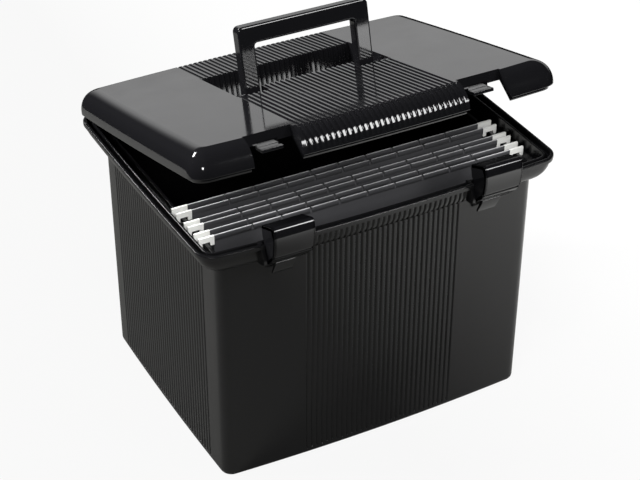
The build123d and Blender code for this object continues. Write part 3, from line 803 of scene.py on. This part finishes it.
def makeLid():
    rows = lidRows()
    values, height = np.array([row[0] for row in rows]), np.array([row[1] for row in rows])
    part = np.array([row[4] for row in rows])
    offsets = (-2.2, -1.75, -1.3, -0.85, -0.4, 0, 0.4, 0.85, 1.3, 1.75, 2.2)
    low, high = notchLook["low"], notchLook["high"]
    front, bandCentres = frontStations(
        offsets, (low - 0.01, low + 0.01, 91, 102, 113, high - 0.01, high + 0.01), 128)
    wall = lidLook["thickness"]
    panTongue = pitLook["tongueHalf"] - wall
    front = sorted(front + [(panTongue, 0), (-panTongue, 0)])
    pitch = 2 * ribLook["band"] / len(bandCentres)
    tongueLand = ribLook["band"] - pitch * round((ribLook["band"] - pitLook["tongueHalf"]) / pitch)
    front = [(math.copysign(pitLook["tongueHalf"], x), share) if abs(abs(x) - tongueLand) < 0.01
             else (x, share) for x, share in front]
    fixed = (-100, -84, -68, -52, -36, pitLook["front"] - wall, pitLook["front"], -8,
             pitLook["tongueBack"] - wall,
             pitLook["tongueBack"], 14, 28, 42, 56, pitLook["back"], pitLook["back"] + wall, 86, 100)
    side = [(-100, -1), (-100, -0.5)] + [(y, 0) for y in fixed] + [(100, 0.5), (100, 1)]
    cornerSteps = 10
    x, y, sideShare = outlineGrid(values, front, side, cornerSteps)
    z = np.repeat(height[:, None], x.shape[1], 1)

    # ribs over the rolls, sunk along the section's normal: square on the flat top, round lower down
    top = lidLook["top"]
    climb, lean = np.gradient(height), np.gradient(values[:, 1] / 2)
    length = np.hypot(climb, lean) + 1e-9
    normalOut, normalUp = np.abs(climb / length)[:, None], np.abs(lean / length)[:, None]
    normalOut[0], normalUp[0] = 0, 1
    onFront = (sideShare == 0) & (np.abs(x).max(0) < ribLook["band"] + 0.01)
    rounding = np.clip((top - height) / 6, 0, 1)[:, None]
    edge = lidLook["grooveEdge"] + (lidLook["rollEdge"] - lidLook["grooveEdge"]) * rounding
    halfWidth = ribLook["halfGroove"] + (ribLook["roundHalf"] - ribLook["halfGroove"]) * rounding
    groove = grooveShape(x, bandCentres, halfWidth, edge) * onFront
    sunk = np.array([row[2] for row in rows])[:, None] * ribLook["depth"] * groove
    y += np.where(y < 0, 1, -1) * sunk * normalOut
    z -= sunk * normalUp

    # notches for the latches: the roll gives way to a short upright wall under the edge of the top
    down = np.array([row[3] for row in rows])[:, None]
    nearFront = -60
    inNotch = (y < nearFront) & (sideShare == 0) & (np.abs(x) > low) & (np.abs(x) < high)
    wallFront, wallBack = notchLook["back"], notchLook["back"] + wall
    plateUnder, foot = top - wall, notchLook["foot"]
    outside, under, inside = (part == kind for kind in (0, 1, 2))
    notchZ = np.where(outside[:, None], top - (top - foot) * down,
                      np.where(under[:, None], foot, foot + (plateUnder - foot) * down))
    notchY = np.where(outside[:, None], np.maximum(y, wallFront),
                      np.where(under[:, None], wallFront + wall * down, np.maximum(y, wallBack)))
    z = np.where(inNotch, notchZ, z)
    y = np.where(inNotch, notchY, y)
    # the notch's side walls have the lid's thickness, and the tongue stops short of the tub's lugs
    shift = np.where(inside, wall, np.where(under, notchLook["lug"], 0))[:, None]
    nearLow, nearHigh = np.abs(np.abs(x) - low) < 0.02, np.abs(np.abs(x) - high) < 0.02
    atFront = (y < nearFront) & (sideShare == 0)
    bandEdge = np.abs(np.abs(x) - ribLook["band"]) < 0.01
    x = (x - np.sign(x) * np.where(atFront & nearLow, shift, 0)
         + np.sign(x) * np.where(atFront & nearHigh, shift, 0))
    x = x - np.sign(x) * np.where(atFront & bandEdge & inside[:, None], 0.1, 0)

    columns = x.shape[1]
    ringPoints = np.stack([x, y, z], -1).reshape(-1, 3)
    faces = ringFaces(len(rows), columns)[:, ::-1].tolist()
    frontCount, sideCount, cornerCount = len(front), len(side), cornerSteps - 1
    rightStart = frontCount + cornerCount

    # the flat top with the hand pit, and the plate's underside with the pit's pan
    points = [ringPoints]
    start = len(ringPoints)
    for row, faceUp in ((0, True), (len(rows) - 1, False)):
        plateX, plateY = x[row, :frontCount], y[row, rightStart:rightStart + sideCount]
        if faceUp:
            pit = inPit(plateX, plateY, pitLook["half"], pitLook["front"], pitLook["back"],
                        pitLook["tongueHalf"], pitLook["tongueBack"])
            ribs = grooveShape(plateX, bandCentres, ribLook["halfGroove"], lidLook["grooveEdge"])
            ribs *= np.abs(plateX) < ribLook["band"] + 0.01
            plateZ = top - ribLook["depth"] * np.repeat(ribs[:, None], len(plateY), 1)
            lowZ = top - pitLook["depth"]
        else:
            pit = inPit(plateX, plateY, pitLook["half"] + wall, pitLook["front"] - wall,
                        pitLook["back"] + wall, panTongue, pitLook["tongueBack"] - wall)
            plateZ = np.full((len(plateX), len(plateY)), plateUnder)
            lowZ = top - pitLook["depth"] - wall
        platePoints, plateFaces, grid = steppedPlate(plateX, plateY, pit, plateZ, lowZ, faceUp)
        points.append(platePoints)
        faces += (plateFaces + start).tolist()
        ring = np.arange(columns) + row * columns
        faces += stitchPlate(ring, grid + start, frontCount, sideCount, cornerCount, faceUp)
        start += len(platePoints)
    points = np.vstack(points)
    used = np.unique(np.concatenate([np.array(face) for face in faces]))
    renumber = np.zeros(len(points), int)
    renumber[used] = np.arange(len(used))
    faces = [[int(renumber[i]) for i in face] for face in faces]
    makePiece("lidShell", [(opened(points[used]), faces)], glossPolystyrene, "lid", "lid",
              sharp=38)


makeLid()


lidFittingLook = {
    "catch": ((-128.5, 262.71), (-128.5, 259.71), (-116.5, 259.71), (-116.5, 267.3), (-119.0, 267.3),
              (-119.0, 262.71)),
    "catchReach": (92.0, 112.0),
    "knuckle": ((137.1, 253.0), (135.9, 263.1), (149.0, 252.0), (144.6, 251.2), (141.9, 247.9),
                (139.6, 253.0)),
    "knuckleReach": (89.0, 111.0),
    "boss": (3.2, 267.0, 7.0, 4.05), "bossReach": (79.9, 83.75),
    "ridgeProud": 1.2, "ridgeHalf": 1.28, "ridgeTop": 274.9, "ridgeFoot": 257.0,
}


def makeLidFittings():
    # Catch ledges in the notches, the hinge's middle knuckles and the bosses that carry the handle.
    look = lidFittingLook
    parts = [prismPart(look["catch"], *look["catchReach"]),
             prismPart(look["knuckle"], *look["knuckleReach"]),
             pipePart(*fittingLook["pin"], *look["knuckleReach"]),
             pipePart(*look["boss"], *look["bossReach"])]
    parts = [openedPart(part) for part in bothSides(parts)]
    makePiece("lidFittings", parts, glossPolystyrene, "lid", "lid", bevel=0.4)

    # The back wall of the hand pit is fluted like the top: a round ridge under every land.
    half, back = pitLook["half"], pitLook["back"]
    lands = np.linspace(-half, half, round(2 * half / ribLook["pitch"]) + 1)[1:-1]
    low, high, proud = look["ridgeFoot"], look["ridgeTop"], look["ridgeProud"]
    arc = np.linspace(0, np.pi, 7)
    ridges = []
    for land in lands.tolist():
        section = np.stack([land + look["ridgeHalf"] * np.cos(arc), back - proud * np.sin(arc)], -1)
        ridges.append(openedPart(uprightPart([*section.tolist(), [land - look["ridgeHalf"], back + 0.3],
                                              [land + look["ridgeHalf"], back + 0.3]], low, high)))
    makePiece("pitFlutes", ridges, glossPolystyrene, "lid", "lid")


makeLidFittings()
print("lid made")


latchLook = {
    "reach": (83.0, 121.0), "cheek": 2.4,
    "hookEdge": (-132.0, 268.5), "hookUnder": (-132.0, 265.0),
    "front": ((-148.2, 275.2), (-150.8, 276.0), (-153.2, 275.2), (-154.7, 272.6), (-156.0, 265.7),
              (-155.8, 257.4), (-154.4, 249.4)),
    "step": ((-152.2, 248.4), (-152.2, 247.0), (-152.6, 246.0), (-151.5, 244.0)),
    "lipEnd": (-137.0, 230.0),
    "inside": ((-135.4, 231.6), (-148.1, 245.6), (-151.6, 249.4), (-153.0, 257.4), (-153.2, 265.7),
               (-149.4, 272.0)),
    "cheekBack": ((-134.4, 234.4), (-133.55, 238.0), (-134.4, 243.0), (-136.4, 253.6), (-133.6, 257.6)),
    "barrel": (-138.5, 238.0, 4.65, 2.55),
    "tab": ((-139.0, 232.0), (-136.0, 231.4), (-130.0, 217.0), (-132.0, 216.6), (-139.0, 229.4)),
    "tabReach": (92.5, 111.5),
}


def makeLatches():
    # A hooked front plate bent round a lower lip, closed by a cheek at each end, with a barrel for its
    # bar and a finger tab: the plate's front is a smooth curve through the points of its section.
    look = latchLook
    low, high = look["reach"]
    outside = [look["hookEdge"], *smoothCurve(look["front"], 4), *look["step"], look["lipEnd"]]
    skin = [*outside, *look["inside"], look["hookUnder"]]
    cheek = [*outside, *look["cheekBack"], look["hookUnder"]]
    parts = [prismPart(skin, low, high), prismPart(cheek, low, low + look["cheek"]),
             prismPart(cheek, high - look["cheek"], high),
             pipePart(*look["barrel"], low + 0.2, high - 0.2),
             prismPart(look["tab"], *look["tabReach"])]
    for side, shapes in (("right", parts), ("left", [mirroredPart(part) for part in parts])):
        makePiece(f"latchShell{side.title()}", shapes, glossPolystyrene, f"latch_{side}",
                  f"latch_{side}", bevel=0.55, sharp=32)


makeLatches()
print("latches made")


folderLook = {
    "rods": ((-42.9, -52.0), (-68.0, -75.5), (-87.6, -96.4)), "half": 147.8, "card": 0.6, "bottom": 8.7,
    "fold": 2.4,
    "hemFoot": 241.25, "hemTop": 246.45, "hemHalf": 1.1,
    "slotPitch": 28.0, "slotHalf": 0.8, "slotDeep": 0.5, "slotDrop": 0.6, "slotTall": 2.4,
}


def makeFolders():
    # Each folder is one sheet hung in a narrow V. Its top edges are turned over the rods into rounded
    # hems, which have a short slot for an index tab every slotPitch: there the hem's section is nipped.
    look = folderLook
    half, card, foot, top, hem = (look[key] for key in ("half", "card", "hemFoot", "hemTop", "hemHalf"))
    slots = np.arange(-4, 5) * look["slotPitch"]
    edge, reach = 0.15, look["slotHalf"]
    stations = np.concatenate([[-half], np.concatenate([slots + d for d in (-reach - edge, -reach, reach,
                                                                            reach + edge)]),
                               [half]])
    stations = np.sort(stations)
    nipped = (np.abs(stations[:, None] - slots).min(1) < reach + 0.01).astype(float)[:, None]
    turn = np.radians(np.array([0, 25, 50, 70, 90, 110, 130, 155, 180]))
    sectionY = np.concatenate([hem * np.cos(turn), [-hem, -hem * 0.6, hem * 0.6, hem]])
    sectionZ = np.concatenate([top - hem + hem * np.sin(turn), [foot + 0.4, foot, foot, foot + 0.4]])
    upper = np.clip((sectionZ - top + look["slotTall"]) / 0.8, 0, 1)
    for number, (back, front) in enumerate(look["rods"], start=1):
        middle, fold = (back + front) / 2, look["fold"] / 2
        bottom = look["bottom"]
        sheet = [(back + card / 2, foot + card / 2), (middle + fold, bottom + card),
                 (middle + fold - card, bottom),
                 (middle - fold + card, bottom), (middle - fold, bottom + card),
                 (front - card / 2, foot + card / 2),
                 (front + card / 2, foot + card / 2), (middle - fold + card, bottom + card),
                 (middle + fold - card, bottom + card), (back - card / 2, foot + card / 2)]
        parts = [prismPart(sheet, -half, half)]
        for rod in (back, front):
            y = rod + sectionY[None, :] * (1 - nipped * upper * look["slotDeep"])
            z = sectionZ[None, :] - nipped * upper * look["slotDrop"]
            points = np.stack([np.broadcast_to(stations[:, None], y.shape), y, z], -1).reshape(-1, 3)
            count = len(sectionY)
            faces = ringFaces(len(stations), count).tolist()
            faces += [list(range(count))[::-1], list(range(len(points) - count, len(points)))]
            parts.append((points, faces))
        makePiece(f"folder{number}Sheet", parts, dyedCard, f"folder_{number}", f"folder_{number}_sleeve",
                  sharp=55)


makeFolders()
print("folders made")
